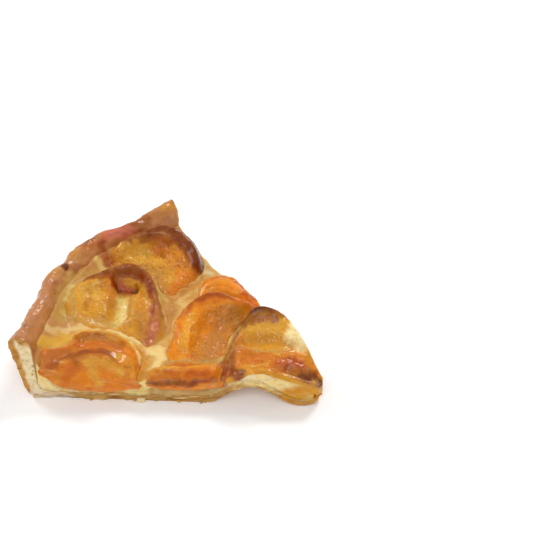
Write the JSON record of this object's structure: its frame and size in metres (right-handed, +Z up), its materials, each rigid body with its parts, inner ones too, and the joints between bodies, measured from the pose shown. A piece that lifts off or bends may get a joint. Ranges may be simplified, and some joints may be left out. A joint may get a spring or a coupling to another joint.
{
  "type": "apricot tart slice",
  "caption": "Wedge of baked apricot tart: tall glazed pastry rim, pale custard and halved apricots with browned lips; the point arches a little off the table.",
  "frame": {"origin": "middle of the slice's box at the table, under the crust", "axes": "+Z up from the table, +X from the rim towards the point, so that one cut face looks along -Y"},
  "size_m": [0.1226, 0.0974, 0.0309],
  "materials": {
    "pastry": "baked pastry, glazed on the rim, flaky and pale where cut",
    "custard": "smooth baked custard, softly glossy",
    "apricot": "baked apricot, glossy with glaze, browned on its lips"
  },
  "bodies": {
    "root": {"crust": "pastry", "custard": "custard", "apricot_back": "apricot", "apricot_left": "apricot", "apricot_front": "apricot", "apricot_middle": "apricot", "apricot_side": "apricot", "apricot_tip": "apricot", "apricot_strip": "apricot"}
  },
  "joints": []
}
